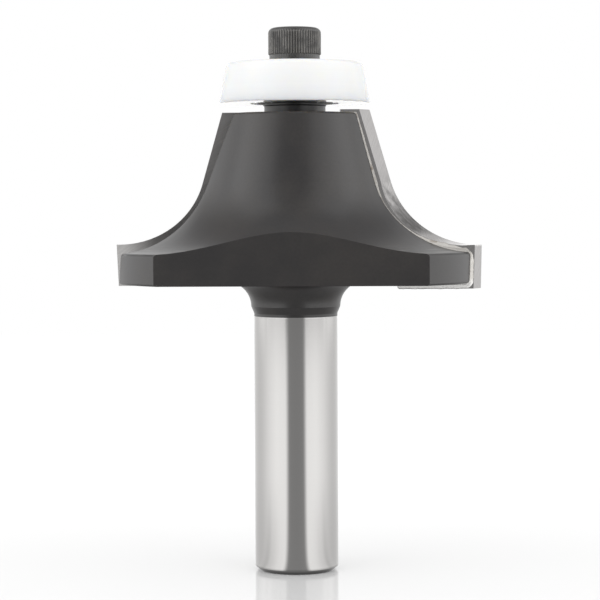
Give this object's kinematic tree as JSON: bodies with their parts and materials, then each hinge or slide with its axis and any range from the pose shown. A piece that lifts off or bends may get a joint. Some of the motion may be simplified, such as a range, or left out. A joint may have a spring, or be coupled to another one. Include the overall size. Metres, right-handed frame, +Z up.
{
  "type": "router bit",
  "caption": "Carbide-tipped cove and lip router bit with a tapered plastic guide roller on a ball bearing, a capped screw on top and a plain round shank.",
  "frame": {"origin": "centre of the shank's end, which is also the centre of the bounding box's bottom", "axes": "+Z up the axis to the cap screw, +X along the first tip, whose rake face looks to +Y; the cutter turns counter-clockwise seen from above"},
  "size_m": [0.0526, 0.0372, 0.078],
  "materials": {
    "coated_steel": "matte black coat on turned steel, bare ground steel on the shank",
    "carbide": "ground grey carbide",
    "braze": "pale silver solder",
    "roller_plastic": "white, slightly translucent turned plastic",
    "bearing_steel": "polished bearing steel",
    "shield_steel": "stamped sheet",
    "cage_steel": "satin",
    "washer_steel": "plain zinc grey",
    "screw_steel": "black oxide, oiled"
  },
  "bodies": {
    "cutter": {"body": "coated_steel", "carbide_tip_1": "carbide", "carbide_tip_2": "carbide", "braze_seam_1": "braze", "braze_seam_2": "braze", "bearing_inner_ring": "bearing_steel", "washer": "washer_steel", "cap_screw": "screw_steel"},
    "roller": {"roller_sleeve": "roller_plastic", "bearing_outer_ring": "bearing_steel", "bearing_shield_top": "shield_steel", "bearing_shield_bottom": "shield_steel"},
    "cage": {"bearing_cage": "cage_steel"},
    "ball_1": {"bearing_ball_1": "bearing_steel"},
    "ball_2": {"bearing_ball_2": "bearing_steel"},
    "ball_3": {"bearing_ball_3": "bearing_steel"},
    "ball_4": {"bearing_ball_4": "bearing_steel"},
    "ball_5": {"bearing_ball_5": "bearing_steel"},
    "ball_6": {"bearing_ball_6": "bearing_steel"},
    "ball_7": {"bearing_ball_7": "bearing_steel"}
  },
  "joints": [
    {"name": "roller_spin", "type": "hinge", "parent": "cutter", "child": "roller", "pos_m": [0, 0, 0.06979], "axis": [0, 0, 1], "continuous": true},
    {"name": "cage_orbit", "type": "hinge", "parent": "cutter", "child": "cage", "pos_m": [0, 0, 0.06979], "axis": [0, 0, 1], "continuous": true},
    {"name": "ball_1_roll", "type": "hinge", "parent": "cage", "child": "ball_1", "pos_m": [0.00437, 0, 0.06979], "axis": [0, 0, 1], "continuous": true},
    {"name": "ball_2_roll", "type": "hinge", "parent": "cage", "child": "ball_2", "pos_m": [0.00272, 0.00341, 0.06979], "axis": [0, 0, 1], "continuous": true},
    {"name": "ball_3_roll", "type": "hinge", "parent": "cage", "child": "ball_3", "pos_m": [-0.00097, 0.00426, 0.06979], "axis": [0, 0, 1], "continuous": true},
    {"name": "ball_4_roll", "type": "hinge", "parent": "cage", "child": "ball_4", "pos_m": [-0.00393, 0.00189, 0.06979], "axis": [0, 0, 1], "continuous": true},
    {"name": "ball_5_roll", "type": "hinge", "parent": "cage", "child": "ball_5", "pos_m": [-0.00393, -0.00189, 0.06979], "axis": [0, 0, 1], "continuous": true},
    {"name": "ball_6_roll", "type": "hinge", "parent": "cage", "child": "ball_6", "pos_m": [-0.00097, -0.00426, 0.06979], "axis": [0, 0, 1], "continuous": true},
    {"name": "ball_7_roll", "type": "hinge", "parent": "cage", "child": "ball_7", "pos_m": [0.00272, -0.00341, 0.06979], "axis": [0, 0, 1], "continuous": true}
  ],
  "couplings": [
    {"joint": "cage_orbit", "follows": "roller_spin", "ratio": 0.63635},
    {"joint": "ball_1_roll", "follows": "roller_spin", "ratio": 1.6971},
    {"joint": "ball_2_roll", "follows": "roller_spin", "ratio": 1.6971},
    {"joint": "ball_3_roll", "follows": "roller_spin", "ratio": 1.6971},
    {"joint": "ball_4_roll", "follows": "roller_spin", "ratio": 1.6971},
    {"joint": "ball_5_roll", "follows": "roller_spin", "ratio": 1.6971},
    {"joint": "ball_6_roll", "follows": "roller_spin", "ratio": 1.6971},
    {"joint": "ball_7_roll", "follows": "roller_spin", "ratio": 1.6971}
  ]
}
